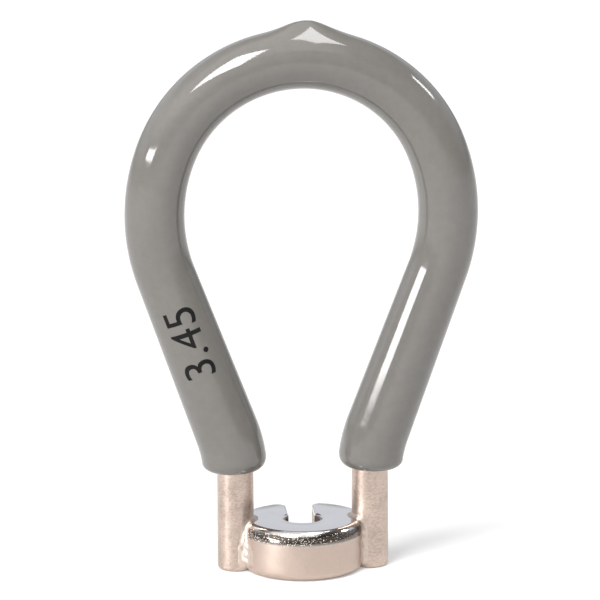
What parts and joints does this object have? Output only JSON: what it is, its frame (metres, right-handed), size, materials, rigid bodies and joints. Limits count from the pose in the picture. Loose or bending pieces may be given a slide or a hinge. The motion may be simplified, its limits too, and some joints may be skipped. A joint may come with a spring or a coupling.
{
  "type": "spoke wrench",
  "caption": "Hand wrench for bicycle spoke nipples: a slotted plated steel ring brazed between the posts of a bent rod, with a dipped vinyl teardrop loop as its grip.",
  "frame": {"origin": "centre of the ring's lower face, on the spoke axis", "axes": "+Z along the spoke axis, up the handle; X across the loop; +Y out of the jaw's open mouth"},
  "size_m": [0.0458, 0.0152, 0.0725],
  "materials": {
    "plated_ring": "nickel plated, polished top and satin side",
    "plated_rod": "nickel plated, fine grainy satin",
    "dipped_vinyl": "glossy grey dipped vinyl",
    "braze_metal": "nickel plated filler metal"
  },
  "bodies": {
    "root": {"wrench_head": "plated_ring", "handle_rod": "plated_rod", "vinyl_grip": "dipped_vinyl", "left_braze": "braze_metal", "right_braze": "braze_metal"}
  },
  "joints": []
}
